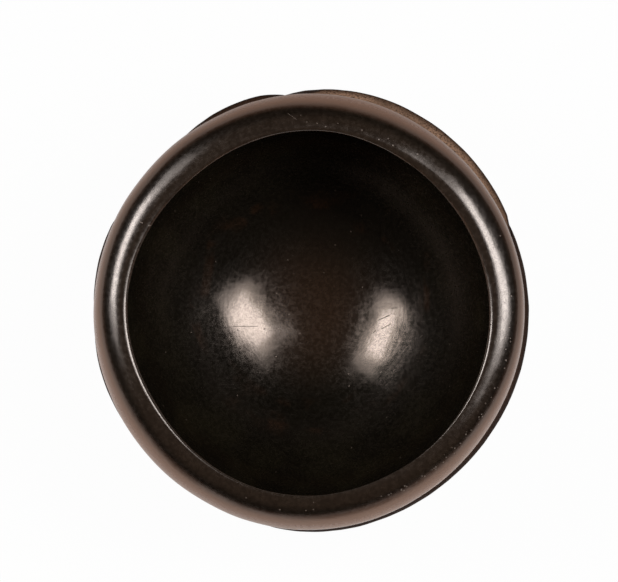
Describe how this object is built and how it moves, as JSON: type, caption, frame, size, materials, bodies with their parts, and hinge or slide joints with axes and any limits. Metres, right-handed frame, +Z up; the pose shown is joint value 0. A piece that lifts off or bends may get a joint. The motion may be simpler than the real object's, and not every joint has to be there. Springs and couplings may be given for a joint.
{
  "type": "carved blackware pot",
  "caption": "Open hand-built pot, burnished black inside, with a heavy rolled rim over a squat body carved in slanting lobes, on a flat foot.",
  "frame": {"origin": "middle of the flat foot, on the surface that the pot stands on", "axes": "+Z up through the mouth; +X to the right and +Y to the top of the picture, which looks straight down"},
  "size_m": [0.1871, 0.1901, 0.12],
  "materials": {
    "burnished_clay": "hand-burnished and smoke-fired, satin black-brown",
    "carved_clay": "carved, tooled and smoke-fired, matte dark brown"
  },
  "bodies": {
    "root": {"base_pad": "burnished_clay", "lower_wall_coil": "burnished_clay", "belly_coil": "burnished_clay", "shoulder_coil": "burnished_clay", "rim_coil": "burnished_clay", "carved_lobe_a": "carved_clay", "carved_lobe_b": "carved_clay", "carved_lobe_c": "carved_clay", "carved_lobe_d": "carved_clay", "carved_lobe_e": "carved_clay", "carved_lobe_f": "carved_clay", "carved_lobe_g": "carved_clay"}
  },
  "joints": []
}
